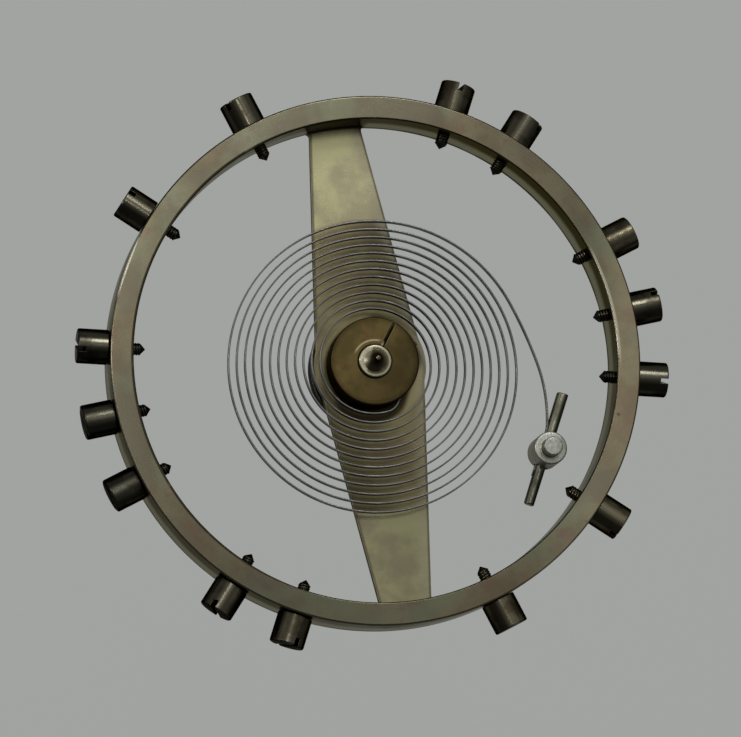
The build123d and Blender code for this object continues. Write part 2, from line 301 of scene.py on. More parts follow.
def worked(piece, tool, operation="DIFFERENCE"):
    """Cuts a tool out of a piece, or unites the two, and removes the tool."""
    step = piece.modifiers.new("work", "BOOLEAN")
    step.operation = operation
    step.solver = "EXACT"
    step.object = tool
    settle(piece)
    bpy.data.objects.remove(tool)


def broken_edges(piece, width, segments=2, sharper_than=50):
    """Takes the sharpness off the edges that cutting has left."""
    step = piece.modifiers.new("edges", "BEVEL")
    step.width = width
    step.segments = segments
    step.limit_method = "ANGLE"
    step.angle_limit = radians(sharper_than)
    settle(piece)


def finished(piece, body, material, own_frame=None, seed=0.0, shade=0.0):
    """Turns a piece's mesh into metres, shades it, and lets it stand for its node on its body."""
    if own_frame is not None:
        piece.data.transform(own_frame.inverted())
        own_frame = own_frame.copy()
        own_frame.translation = own_frame.translation * MM
        piece.matrix_world = own_frame
    piece.data.shade_smooth()
    piece.modifiers.new("normals", "WEIGHTED_NORMAL")
    settle(piece)
    mesh = piece.data
    mesh.transform(Matrix.Scale(MM, 4))
    for label, value in (("piece_seed", seed), ("piece_shade", shade)):
        marks = mesh.attributes.new(label, "FLOAT", "POINT")
        marks.data.foreach_set("value", [value] * len(mesh.vertices))
    mesh.materials.clear()
    mesh.materials.append(material)
    if body is not None:
        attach(piece, body)
    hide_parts(piece.name.removesuffix("_look"))


# Material tools


def feed(tree, sockets, feeds):
    """Links sockets to others by name or number, or sets them to plain numbers, vectors or colours."""
    for key, value in dict(feeds).items():
        if isinstance(value, bpy.types.NodeSocket):
            tree.links.new(value, sockets[key])
        elif sockets[key].type == "RGBA":
            sockets[key].default_value = (*value, 1)
        else:
            sockets[key].default_value = value


def node(tree, kind, feeds=(), **settings):
    """A shader node of a kind, with its settings and what goes into its sockets."""
    made = tree.nodes.new("ShaderNode" + kind)
    for key, value in settings.items():
        setattr(made, key, value)
    feed(tree, made.inputs, feeds)
    return made


def new_material(name):
    """A material, its tree and its shader."""
    material = bpy.data.materials.new(name)
    material.use_nodes = True
    return material, material.node_tree, material.node_tree.nodes["Principled BSDF"]


def new_group(name, inputs, outputs):
    """An empty shader group. Each input is (name, kind, value) and each output (name, kind)."""
    tree = bpy.data.node_groups.new(name, "ShaderNodeTree")
    for label, kind, value in inputs:
        socket = tree.interface.new_socket(name=label, in_out="INPUT", socket_type="NodeSocket" + kind)
        socket.default_value = value
    for label, kind in outputs:
        tree.interface.new_socket(name=label, in_out="OUTPUT", socket_type="NodeSocket" + kind)
    return tree, tree.nodes.new("NodeGroupInput").outputs, tree.nodes.new("NodeGroupOutput").inputs


def effect(tree, group, **values):
    """What a shared effect gives out for what goes into it, where patch_size stands for Patch Size."""
    feeds = {key.replace("_", " ").title(): value for key, value in values.items()}
    return node(tree, "Group", feeds, node_tree=group).outputs


def math(tree, operation, *values):
    """A Math node's output, from sockets or plain numbers."""
    return node(tree, "Math", enumerate(values), operation=operation).outputs[0]


def product(tree, first, *others):
    """The product of sockets and plain numbers."""
    for other in others:
        first = math(tree, "MULTIPLY", first, other)
    return first


def added(tree, value, *shares):
    """A value with shares of others added to it. Each share is (socket, how much of it)."""
    for socket, much in shares:
        value = math(tree, "MULTIPLY_ADD", socket, much, value)
    return value


def ranged(tree, value, low, high, to_low=0.0, to_high=1.0, curve="SMOOTHSTEP"):
    """A value carried from one range to another and held at its ends."""
    values = enumerate((value, low, high, to_low, to_high))
    return node(tree, "MapRange", values, interpolation_type=curve).outputs[0]


def mixed(tree, share, first, second, blend="MIX"):
    """A colour mix of sockets or plain colours."""
    return node(tree, "Mix", {0: share, 6: first, 7: second}, data_type="RGBA", blend_type=blend).outputs[2]


def scaled(tree, colour, factor):
    """A colour made brighter or darker by a value."""
    return node(tree, "VectorMath", {0: colour, "Scale": factor}, operation="SCALE").outputs[0]


def split(tree, vector):
    """A vector's X, Y and Z."""
    return node(tree, "SeparateXYZ", {0: vector}).outputs


def place_in_mm(tree):
    """The place on the piece in millimetres, which moves with the piece."""
    return scaled(tree, node(tree, "TexCoord").outputs["Object"], 1 / MM)


def axis_distance(tree, here):
    """How far a place lies from the piece's own Z."""
    level = node(tree, "VectorMath", {0: here, 1: (1, 1, 0)}, operation="MULTIPLY")
    return node(tree, "VectorMath", {0: level.outputs[0]}, operation="LENGTH").outputs["Value"]


def dot(tree, first, second):
    """The dot product of two vectors."""
    return node(tree, "VectorMath", {0: first, 1: second}, operation="DOT_PRODUCT").outputs["Value"]


def along(tree, here, angle):
    """How far a place lies along a level direction."""
    return dot(tree, here, direction(angle))


def toned_by_side(tree, here, colour, tones):
    """A colour that changes towards some angles, each with two distances and the factors there."""
    for angle, low, high, to_low, to_high in tones:
        colour = scaled(tree, colour, ranged(tree, along(tree, here, angle), low, high, to_low, to_high))
    return colour


def piece_noise(tree, vector, scale, detail=3.0, roughness=0.55, seed_step=0.0):
    """Noise that differs from piece to piece by the piece's own seed."""
    seed = node(tree, "Attribute", attribute_name="piece_seed").outputs["Fac"]
    feeds = {"Vector": vector, "W": math(tree, "ADD", seed, seed_step), "Scale": scale, "Detail": detail,
             "Roughness": roughness}
    return node(tree, "TexNoise", feeds, noise_dimensions="4D").outputs["Fac"]


# Shared effects


def make_patina():
    """Soft patches of three tones, as air and fingers leave on old metal."""
    tree, given, out = new_group(
        "patina",
        [("Clean", "Color", (0.8, 0.8, 0.8, 1)), ("Aged", "Color", (0.5, 0.5, 0.5, 1)),
         ("Deep", "Color", (0.2, 0.2, 0.2, 1)), ("Patch Size", "Float", 2.0),
         ("Aged Share", "Float", 0.5), ("Deep Share", "Float", 0.2)],
        [("Color", "Color"), ("Aged", "Float"), ("Deep", "Float")],
    )
    here = place_in_mm(tree)
    scale = math(tree, "DIVIDE", 1.0, given["Patch Size"])
    broad = piece_noise(tree, here, scale, 4.0, 0.6)
    fine = piece_noise(tree, here, product(tree, scale, 3.7), 5.0, 0.62, 7.3)
    aged_low = added(tree, 0.66, (given["Aged Share"], -0.40))
    aged = ranged(tree, broad, aged_low, math(tree, "ADD", aged_low, 0.16))
    deep_low = added(tree, 0.74, (given["Deep Share"], -0.40))
    deep = ranged(tree, fine, deep_low, math(tree, "ADD", deep_low, 0.14))
    colour = mixed(tree, aged, given["Clean"], given["Aged"])
    feed(tree, out, {"Color": mixed(tree, deep, colour, given["Deep"]), "Aged": aged, "Deep": deep})
    return tree


def make_specks():
    """Small round spots of tarnish, few and of different sizes."""
    tree, given, out = new_group(
        "tarnish specks",
        [("Color", "Color", (0.5, 0.5, 0.5, 1)), ("Speck", "Color", (0.08, 0.05, 0.03, 1)),
         ("Spacing", "Float", 0.6), ("Amount", "Float", 0.3)],
        [("Color", "Color"), ("Mask", "Float")],
    )
    density = math(tree, "DIVIDE", 1.0, given["Spacing"])
    cells = node(tree, "TexVoronoi", {"Vector": place_in_mm(tree), "Scale": density})
    pick = node(tree, "SeparateColor", {0: cells.outputs["Color"]}).outputs
    chosen = math(tree, "LESS_THAN", pick[0], given["Amount"])
    round_spot = ranged(tree, cells.outputs["Distance"], product(tree, pick[1], 0.22), 0.0)
    mask = product(tree, chosen, round_spot)
    feed(tree, out, {"Color": mixed(tree, mask, given["Color"], given["Speck"]), "Mask": mask})
    return tree


def make_worn_edges():
    """Where handling has rubbed an edge bright."""
    tree, given, out = new_group(
        "worn edges",
        [("Color", "Color", (0.5, 0.5, 0.5, 1)), ("Bare", "Color", (0.9, 0.85, 0.7, 1)),
         ("Width", "Float", 0.03), ("Amount", "Float", 0.7)],
        [("Color", "Color"), ("Mask", "Float")],
    )
    soft = node(tree, "Bevel", {"Radius": product(tree, given["Width"], MM)}, samples=6)
    flat = node(tree, "NewGeometry")
    bend = math(tree, "SUBTRACT", 1.0, dot(tree, soft.outputs[0], flat.outputs["Normal"]))
    patchy = piece_noise(tree, place_in_mm(tree), 3.1, 4.0, 0.6, 2.1)
    mask = product(tree, ranged(tree, bend, 0.004, 0.07), ranged(tree, patchy, 0.30, 0.62, 0.35, 1.0),
                   given["Amount"])
    feed(tree, out, {"Color": mixed(tree, mask, given["Color"], given["Bare"]), "Mask": mask})
    return tree


def put_out_lines(tree, given, out, lines):
    """Gives out fine lines and the normal that they bend."""
    bump = node(tree, "Bump", {"Height": lines, "Strength": given["Depth"], "Distance": 0.02 * MM})
    feed(tree, out, {"Normal": bump.outputs[0], "Lines": lines})


def make_turned_lines():
    """The fine rings that turning or polishing on the lathe leaves round a piece's own axis."""
    tree, given, out = new_group(
        "turned lines",
        [("Spacing", "Float", 0.03), ("Depth", "Float", 0.2)],
        [("Normal", "Vector"), ("Lines", "Float")],
    )
    here = place_in_mm(tree)
    x, y, z = split(tree, here)
    rate = math(tree, "DIVIDE", 1.0, given["Spacing"])
    round_way = math(tree, "SINE", math(tree, "ARCTAN2", y, x))
    drum = node(tree, "CombineXYZ", {
        "X": product(tree, axis_distance(tree, here), rate),
        "Y": product(tree, z, rate),
        "Z": product(tree, round_way, 0.7),
    })
    put_out_lines(tree, given, out, piece_noise(tree, drum.outputs[0], 1.0, 2.0, 0.7, 4.4))
    return tree


def make_drawn_grain():
    """Fine straight grain along one way, from filing, brushing or the drawplate."""
    tree, given, out = new_group(
        "drawn grain",
        [("Way", "Vector", (0, 1, 0)), ("Spacing", "Float", 0.03), ("Depth", "Float", 0.2)],
        [("Normal", "Vector"), ("Lines", "Float")],
    )
    here = place_in_mm(tree)
    stretch = scaled(tree, given["Way"], product(tree, dot(tree, here, given["Way"]), 0.96))
    squeezed = node(tree, "VectorMath", {0: here, 1: stretch}, operation="SUBTRACT").outputs[0]
    rate = math(tree, "DIVIDE", 1.0, given["Spacing"])
    put_out_lines(tree, given, out, piece_noise(tree, squeezed, rate, 2.0, 0.7, 1.9))
    return tree


patina = make_patina()
specks = make_specks()
worn_edges = make_worn_edges()
turned_lines = make_turned_lines()
drawn_grain = make_drawn_grain()

# Finishes


def metal(name, clean, aged, deep, bare, dress=None, patch=2.0, aged_share=0.5, deep_share=0.2,
          roughness=0.32, edge_width=0.03, edge_amount=0.7, speck_spacing=0.6, line_spacing=0.03,
          line_depth=0.2, grain_way=None, grazing=(0.6, 0.57, 0.5)):
    """An aged metal: patina patches, tarnish specks, worn edges and the marks of its making.

    dress takes the tree, the place and the patina's colour, and gives back what the piece makes of it.
    """
    material, tree, shader = new_material(name)
    coat = effect(tree, patina, clean=clean, aged=aged, deep=deep, patch_size=patch, aged_share=aged_share,
                  deep_share=deep_share)
    colour = dress(tree, place_in_mm(tree), coat["Color"]) if dress else coat["Color"]
    spots = effect(tree, specks, color=colour, speck=(0.07, 0.045, 0.025), spacing=speck_spacing,
                   amount=0.25)
    edges = effect(tree, worn_edges, color=spots["Color"], bare=bare, width=edge_width, amount=edge_amount)
    if grain_way:
        marks = effect(tree, drawn_grain, way=grain_way, spacing=line_spacing, depth=line_depth)
    else:
        marks = effect(tree, turned_lines, spacing=line_spacing, depth=line_depth)
    dull = math(tree, "MAXIMUM", coat["Deep"], spots["Mask"])
    feed(tree, shader.inputs, {
        "Specular Tint": grazing,
        "Base Color": edges["Color"],
        "Normal": marks["Normal"],
        "Roughness": added(tree, roughness, (coat["Aged"], 0.12), (coat["Deep"], 0.10),
                           (spots["Mask"], 0.15), (edges["Mask"], -0.10), (marks["Lines"], 0.06)),
        "Metallic": ranged(tree, dull, 0.0, 1.0, 1.0, 0.85, "LINEAR"),
    })
    return material


def dress_screw(tree, here, colour):
    """Golden by each screw's own share, with painted light on the upper side of its head and painted shade
    below.
    """
    share = node(tree, "Attribute", attribute_name="piece_shade").outputs["Fac"]
    golden = mixed(tree, share, (1.0, 1.0, 1.0), (1.7, 1.55, 1.3))
    colour = mixed(tree, 1.0, colour, golden, "MULTIPLY")
    # Painted light on the head's upper side and painted shade on its lower side.
    upper = added(tree, split(tree, here)[0], (piece_noise(tree, here, 4.0), 0.03))
    return scaled(tree, colour, ranged(tree, upper, 0.485, 0.527, 0.66, 1.55))


def dress_staff(tree, here, colour):
    """Painted shade on the upper cone, thin on one side to leave a painted highlight."""
    painted_shade_bottom, painted_shade_reach = collet_seat_top - 0.045, collet_seat_radius - 0.065
    # Painted shade on the cone, thinned towards one side as a painted highlight.
    painted_cone_shade = product(tree, ranged(tree, split(tree, here)[2], painted_shade_bottom, painted_shade_bottom + 0.03),
                  ranged(tree, axis_distance(tree, here), painted_shade_reach, painted_shade_reach - 0.05),
                  ranged(tree, along(tree, here, 158), 0.12, 0.24, 0.96, 0.12))
    return mixed(tree, painted_cone_shade, colour, (0.062, 0.050, 0.028))


def dress_collet(tree, here, colour):
    """Painted light towards one side, dark along the outer edge, with a painted highlight in an arc round
    the staff's seat.
    """
    radius = axis_distance(tree, here)
    # Painted light and shade across the collet from one side to the other.
    colour = toned_by_side(tree, here, colour, [(140, -1.2, 1.0, 0.64, 1.04)])
    colour = scaled(tree, colour, ranged(tree, radius, collet_radius - 0.22, collet_radius, 1.0, 0.55))
    # A painted highlight in an arc round the staff's seat.
    arc = product(tree, ranged(tree, radius, 0.60, 0.63), ranged(tree, radius, 0.69, 0.65),
                  ranged(tree, along(tree, here, 108), 0.44, 0.56), 0.8)
    return mixed(tree, arc, colour, (0.26, 0.22, 0.13))


def dress_stud_pin(tree, here, colour):
    """Painted shade along the pin's outer side, and darker towards its thin end."""
    middle = stud_place_radius * cos(radians(stud_hole_angle - stud_angle))
    # Painted shade along the pin's outer side.
    return toned_by_side(tree, here, colour, [
        (stud_hole_angle, middle + 0.01, middle + 0.06, 1.0, 0.32),
        (stud_hole_angle - 90, 1.3, 1.6, 1.0, 0.55),
    ])


def ring_colour(tree, here):
    """Satin greenish brass with painted light and shade by side, and browner in broad patches."""
    ring = effect(tree, patina, clean=(0.164, 0.163, 0.108), aged=(0.144, 0.128, 0.088),
                  deep=(0.157, 0.124, 0.094), aged_share=0.60, deep_share=0.48)
    # The tones by side are painted light and painted shade across the ring.
    colour = toned_by_side(tree, here, ring["Color"], [
        (-20, 5.0, 7.6, 0.82, 1.50), (140, -2.5, 7.0, 0.76, 1.22), (205, 3.5, 7.4, 1.0, 0.74),
    ])
    browner = ranged(tree, piece_noise(tree, here, 0.42, 2.0, 0.5, 3.3), 0.44, 0.56)
    return mixed(tree, browner, colour, (1.08, 0.955, 0.92), "MULTIPLY")


def crossbar_colour(tree, here, radius, cloud, painted_shade_under_spring, upright):
    """Pale brass with painted light towards one end, painted shade under the spring, along one side and at
    its edges, and a painted shadow round the collet.
    """
    x, y, _ = split(tree, here)
    bar = effect(tree, patina, clean=(0.290, 0.274, 0.156), aged=(0.225, 0.204, 0.128),
                 deep=(0.185, 0.154, 0.101), patch_size=1.7, deep_share=0.22)
    # Painted light: brighter towards the bar's +Y end and darker towards the other.
    colour = scaled(tree, bar["Color"], ranged(tree, y, -6.0, 6.5, 0.70, 1.08))
    # Painted shade under the spring, deeper in two opposite quarters of the bar.
    shaded_under_spring = scaled(tree, colour, ranged(tree, product(tree, x, y), -3.2, 3.2, 1.30, 0.55))
    shaded_under_spring = mixed(tree, 1.0, shaded_under_spring, (0.56, 0.505, 0.46), "MULTIPLY")
    colour = mixed(tree, product(tree, painted_shade_under_spring, 0.9), colour, shaded_under_spring)

    taper = (crossbar_half_at_staff - crossbar_half_at_rim) / rim_inner_radius
    half_width = added(tree, crossbar_half_at_staff, (math(tree, "ABSOLUTE", y), -taper))
    # Painted shade: a greyer band along the bar's +X side.
    painted_side_shade = added(tree, math(tree, "SUBTRACT", half_width, x), (cloud, 0.2))
    colour = mixed(tree, ranged(tree, painted_side_shade, 0.55, 0.18, 0.0, 0.45), colour, (0.215, 0.195, 0.145))
    # Painted shade on the bar's upright walls and along its side edges.
    from_side = math(tree, "SUBTRACT", half_width, math(tree, "ABSOLUTE", x))
    past_boss = ranged(tree, radius, crossbar_boss_radius + 0.05, crossbar_boss_radius + 0.25)
    edge = math(tree, "MAXIMUM", product(tree, ranged(tree, from_side, 0.10, 0.02), past_boss), upright)
    colour = mixed(tree, product(tree, edge, 0.85), colour, (0.060, 0.050, 0.030))

    # Painted shadow round the collet's foot, reaching further towards one side, and dark under the collet.
    painted_shade_reach = added(tree, collet_radius - 0.02, (ranged(tree, along(tree, here, 262), 0.6, 1.6), 0.34),
                      (ranged(tree, along(tree, here, 37), 0.6, 1.3), 0.18))
    past_painted_shadow = math(tree, "SUBTRACT", radius, painted_shade_reach)
    return mixed(tree, ranged(tree, past_painted_shadow, 0.12, -0.02), colour, (0.030, 0.024, 0.012))


def wall_colour(tree, here, radius, cloud):
    """Painted light at mid height, painted shade towards the rim's top and foot, and the deepest painted
    shade at the crossbar's roots.
    """
    x, _, z = split(tree, here)
    # The pale band is a painted reflection and the dark bands are painted shade, broken by noise.
    height = added(tree, z, (cloud, 0.40))
    colour = mixed(tree, ranged(tree, height, 4.38, 4.86), (0.40, 0.385, 0.305), (0.064, 0.058, 0.043))
    colour = mixed(tree, ranged(tree, height, 4.04, 3.90), colour, (0.060, 0.052, 0.033))
    painted_root_shade = product(tree, ranged(tree, math(tree, "ABSOLUTE", x), 0.98, 0.80),
                      ranged(tree, radius, rim_inner_radius + 0.3, rim_inner_radius + 0.2))
    return mixed(tree, painted_root_shade, colour, (0.036, 0.028, 0.014))


def painted_shade_edge_lines(tree, here, radius, cloud):
    """Painted shade lines along the ring's outer and inner edges, which fade away in places."""
    outer = product(tree, ranged(tree, radius, rim_radius - 0.055, rim_radius - 0.03),
                    ranged(tree, along(tree, here, 55), -4.5, 0.5))
    width = ranged(tree, along(tree, here, 168), 1.0, 5.5, 0.042, 0.085)
    past_line = math(tree, "SUBTRACT", radius, math(tree, "ADD", width, rim_inner_radius))
    inner = product(tree, ranged(tree, past_line, 0.012, -0.012), ranged(tree, cloud, 0.68, 0.58))
    return math(tree, "MAXIMUM", outer, inner)


def painted_edge_highlights(tree, here, radius, on_ring):
    """Two stretches of the ring's edges with a painted highlight, one outside and one inside."""
    outer, inner = rim_radius, rim_inner_radius
    outside = product(tree, ranged(tree, along(tree, here, 152), outer - 0.10, outer - 0.065),
                      ranged(tree, radius, outer - 0.10, outer - 0.075))
    inside = product(tree, ranged(tree, along(tree, here, 6), inner - 0.18, inner - 0.04),
                     ranged(tree, radius, inner + 0.125, inner + 0.09), on_ring, 0.6)
    return math(tree, "MAXIMUM", outside, inside)


def make_rim_brass():
    """The ring's and the crossbar's brass, with painted light and shade on the ring's walls, painted shade
    lines along its edges and painted highlights on two stretches of them.
    """
    material, tree, shader = new_material("rim brass")
    here = place_in_mm(tree)
    radius = axis_distance(tree, here)
    cloud = piece_noise(tree, here, 0.9, 4.0, 0.55, 11.0)
    facing_up = math(tree, "ABSOLUTE", split(tree, node(tree, "NewGeometry").outputs["Normal"])[2])
    upright = ranged(tree, facing_up, 0.65, 0.30)
    level = math(tree, "SUBTRACT", 1.0, upright)
    on_ring = ranged(tree, radius, rim_inner_radius - 0.06, rim_inner_radius - 0.015)
    # Mask of the painted shade under the spring; it also makes the surface there a little rougher.
    painted_shade_under_spring = ranged(tree, added(tree, radius, (cloud, 0.10)), 4.56, 4.44)

    colour = mixed(tree, on_ring, crossbar_colour(tree, here, radius, cloud, painted_shade_under_spring, upright),
                   ring_colour(tree, here))
    # Painted light and shade on the ring's walls.
    colour = mixed(tree, product(tree, upright, on_ring), colour, wall_colour(tree, here, radius, cloud))
    spots = effect(tree, specks, color=colour, speck=(0.06, 0.045, 0.025), spacing=0.5, amount=0.07)
    edges = effect(tree, worn_edges, color=spots["Color"], bare=(0.36, 0.35, 0.25), width=0.04, amount=0.55)
    # Painted shade lines along the ring's top edges.
    lines = product(tree, painted_shade_edge_lines(tree, here, radius, cloud), on_ring, level, 0.9)
    colour = mixed(tree, lines, edges["Color"], (0.022, 0.019, 0.010))
    # Painted highlights on two stretches of the ring's edges.
    rubbed = product(tree, painted_edge_highlights(tree, here, radius, on_ring), level, 0.85)
    marks = effect(tree, turned_lines, depth=0.02)
    feed(tree, shader.inputs, {
        "Specular Tint": (0.40, 0.38, 0.31),
        "Base Color": mixed(tree, rubbed, colour, (0.46, 0.44, 0.34)),
        "Normal": marks["Normal"],
        "Roughness": added(tree, ranged(tree, cloud, 0.3, 0.7, 0.19, 0.27), (spots["Mask"], 0.15),
                           (painted_shade_under_spring, 0.06), (marks["Lines"], 0.05)),
        "Metallic": ranged(tree, spots["Mask"], 0.0, 1.0, 1.0, 0.8, "LINEAR"),
    })
    return material


def make_ruby():
    """A clear dark red stone with faint growth lines."""
    material, tree, shader = new_material("ruby")
    cloud = piece_noise(tree, place_in_mm(tree), 6.0, 3.0, 0.6)
    feed(tree, shader.inputs, {
        "Base Color": mixed(tree, ranged(tree, cloud, 0.35, 0.65), (0.75, 0.02, 0.06), (0.42, 0.01, 0.05)),
        "Roughness": ranged(tree, cloud, 0.3, 0.7, 0.03, 0.09),
        "IOR": 1.77,
        "Transmission Weight": 0.85,
    })
    return material


rim_brass = make_rim_brass()
screw_steel = metal("screw steel", (0.046, 0.044, 0.034), (0.024, 0.022, 0.016), (0.040, 0.031, 0.017),
                    (0.12, 0.115, 0.09), dress_screw, patch=0.7, deep_share=0.25, roughness=0.17,
                    edge_width=0.02, edge_amount=0.6, speck_spacing=0.3, line_spacing=0.02, line_depth=0.06,
                    grazing=(0.10, 0.09, 0.07))
staff_steel = metal("staff steel", (0.31, 0.29, 0.205), (0.23, 0.21, 0.145), (0.14, 0.11, 0.06),
                    (0.52, 0.49, 0.36), dress_staff, patch=0.8, roughness=0.20, line_spacing=0.02,
                    line_depth=0.10, grazing=(0.35, 0.32, 0.25))
roller_steel = metal("roller steel", (0.055, 0.052, 0.046), (0.036, 0.033, 0.028), (0.030, 0.022, 0.014),
                     (0.20, 0.19, 0.165), patch=0.9, roughness=0.24, line_spacing=0.025, line_depth=0.12,
                     grazing=(0.2, 0.19, 0.17))
collet_brass = metal("collet brass", (0.080, 0.058, 0.022), (0.060, 0.045, 0.017), (0.095, 0.050, 0.024),
                     (0.20, 0.155, 0.08), dress_collet, patch=1.0, aged_share=0.6, deep_share=0.42,
                     line_depth=0.15, grazing=(0.2, 0.16, 0.1))
# The spring's worn edges are set bright and strong, partly wear and partly a painted highlight along the
# strip's edges.
spring_steel = metal("spring steel", (0.105, 0.105, 0.104), (0.074, 0.074, 0.070), (0.046, 0.041, 0.030),
                     (0.42, 0.42, 0.39), patch=1.5, deep_share=0.15, roughness=0.27, edge_width=0.02,
                     edge_amount=0.85, line_spacing=0.02, line_depth=0.1)
stud_steel = metal("stud steel", (0.29, 0.29, 0.255), (0.18, 0.18, 0.157), (0.08, 0.076, 0.052),
                   (0.46, 0.46, 0.40), patch=0.8, roughness=0.30)
pin_brass = metal("pin brass", (0.17, 0.165, 0.125), (0.10, 0.095, 0.068), (0.045, 0.036, 0.022),
                  (0.34, 0.33, 0.26), dress_stud_pin, patch=0.6, roughness=0.24, line_spacing=0.02,
                  grain_way=tuple(direction(stud_hole_angle - 90)))
ruby = make_ruby()

# Rim and crossbar: a turned ring with a tapered bar let into its foot


def crossbar_outline():
    """The bar's plan: straight tapering sides, a round boss, and small fillets into the rim's wall."""
    fillet = crossbar_root_fillet
    foot = Vector((crossbar_half_at_staff, 0))
    way = (Vector((crossbar_half_at_rim, rim_inner_radius)) - foot).normalized()
    out = Vector((way.y, -way.x))
    base = foot + out * fillet
    reach = rim_inner_radius + crossbar_root_let_in - fillet
    centre = base + way * (sqrt(base.dot(way) ** 2 - base.length_squared + reach**2) - base.dot(way))
    clear = foot.dot(out)
    side_start = out * clear + way * sqrt(crossbar_boss_radius**2 - clear**2)
    quarter = round_points(Vector((0, 0)), crossbar_boss_radius, Vector((1, 0)), side_start, 12)[1:]
    quarter += round_points(centre, fillet, -out, centre, 10)
    quarter.append(tuple(centre.normalized() * (rim_inner_radius + crossbar_end_let_in)))
    upper = quarter + [(-x, y) for x, y in reversed(quarter)]
    lower = [(-x, -y) for x, y in upper]
    return [(crossbar_boss_radius, 0), *upper, (-crossbar_boss_radius, 0), *lower]


def make_rim():
    ring = eased([
        (rim_inner_radius, rim_bottom, 0.03), (rim_radius, rim_bottom, 0.05),
        (rim_radius, rim_top, 0.055), (rim_inner_radius, rim_top, 0.05),
    ])
    rim = turned("balance_rim_look", ring, 480, ring=True)
    worked(rim, plate("bar", crossbar_outline(), rim_bottom + crossbar_foot_lift, crossbar_top), "UNION")
    foot, head = (0, 0, rim_bottom - overrun), (0, 0, crossbar_top + overrun)
    worked(rim, rod(rivet_seat_radius + clearance, foot, head, 96))
    for angle in screw_angles:
        start = direction(angle) * (rim_inner_radius - overrun) + spring_level
        end = start + direction(angle) * (rim_width + 2 * overrun)
        worked(rim, rod(screw_shank_radius + clearance, start, end, 32))
    broken_edges(rim, 0.022)
    finished(rim, "balance", rim_brass)


# Rim screws


def make_screw(number, angle):
    """A slotted head, a shank, and a threaded end with a point, along Z from the rim's outer wall."""
    tip = -rim_width - screw_tip_length
    thread_start = tip + screw_point_length
    thread_end = thread_run_out - rim_width
    rows = 26
    section = [(0.0, tip), (0.012, tip + 0.004), (screw_shank_radius - 0.03, thread_start - 0.02)]
    for row in range(rows + 1):
        section.append((screw_shank_radius, thread_start + (thread_end - thread_start) * row / rows))
    section += eased([
        (screw_shank_radius, 0.0, 0), (screw_head_radius, 0.0, 0.035),
        (screw_head_radius, screw_head_length, 0.05), (0.0, screw_head_length, 0),
    ])
    screw = turned(f"rim_screw_{number:02d}_look", section, 48)
    for point in screw.data.vertices:
        x, y, z = point.co
        if thread_start - 0.001 <= z <= thread_end + 0.001:
            phase = (z / thread_pitch - atan2(y, x) / tau) % 1
            run_out = min(1, (thread_end - z) / thread_run_out + thread_least_share)
            groove = thread_depth * (1 - abs(2 * phase - 1)) * run_out
            point.co.x *= 1 - groove / screw_shank_radius
            point.co.y *= 1 - groove / screw_shank_radius
    reach = screw_head_radius + overrun
    worked(screw, slot_tool(-reach, reach, screw_slot_width, screw_head_length - screw_slot_depth,
                            screw_head_length + overrun, number * screw_slot_turn + 90))
    broken_edges(screw, 0.014, sharper_than=55)
    way = direction(angle)
    own = axis_matrix(way * rim_radius + spring_level, way)
    screw.data.transform(own)
    finished(screw, "balance", screw_steel, own, number * screw_seed_step,
             screw_golden_shares[number - 1])


# Staff, rollers and jewel


def make_staff():
    pivot_end = [(0, 0), (0.05, 0.0), (0.063, 0.004), (pivot_radius, 0.014)]
    lower_cone = [(pivot_radius, lower_pivot_top), (arbor_radius, lower_cone_top)]
    upper_cone = [(upper_cone_radius, collet_seat_top), (pivot_radius, upper_pivot_bottom)]
    body = [
        (*lower_cone[0], 0), (*lower_cone[1], 0.015),
        (arbor_radius, roller_seat_bottom, 0.015), (roller_seat_radius, roller_seat_bottom, 0.02),
        (roller_seat_radius, table_top, 0), (flange_radius, table_top, 0.03),
        (flange_radius, rim_bottom, 0.03), (rivet_seat_radius, rim_bottom, 0),
        (rivet_seat_radius, crossbar_top, 0), (rivet_lip_radius, crossbar_top, 0.012),
        (rivet_crown_radius, rivet_lip_top - 0.02, 0.05), (rivet_seat_radius, rivet_lip_top, 0.02),
        (collet_seat_radius, rivet_lip_top, 0), (collet_seat_radius, collet_seat_top, 0.05),
        (*upper_cone[0], 0.02), (*upper_cone[1], 0),
    ]
    section = [*pivot_end, lower_cone[0], *hollow(*lower_cone), *eased(body, 3)[1:-1], *hollow(*upper_cone)]
    section += [upper_cone[1], *((radius, staff_top - height) for radius, height in reversed(pivot_end))]
    finished(turned("balance_staff_look", section, 128), "balance", staff_steel)


def jewel_outline(spare=0.0, segments=28):
    """The jewel's D, its flat turned outwards, grown all round by a clearance."""
    radius, flat = jewel_radius + spare, jewel_flat + spare
    opening = degrees(atan2(sqrt(radius**2 - flat**2), flat))
    turns = [opening + (360 - 2 * opening) * k / segments for k in range(segments + 1)]
    return [(jewel_place_radius + radius * cos(radians(t)), radius * sin(radians(t))) for t in turns]


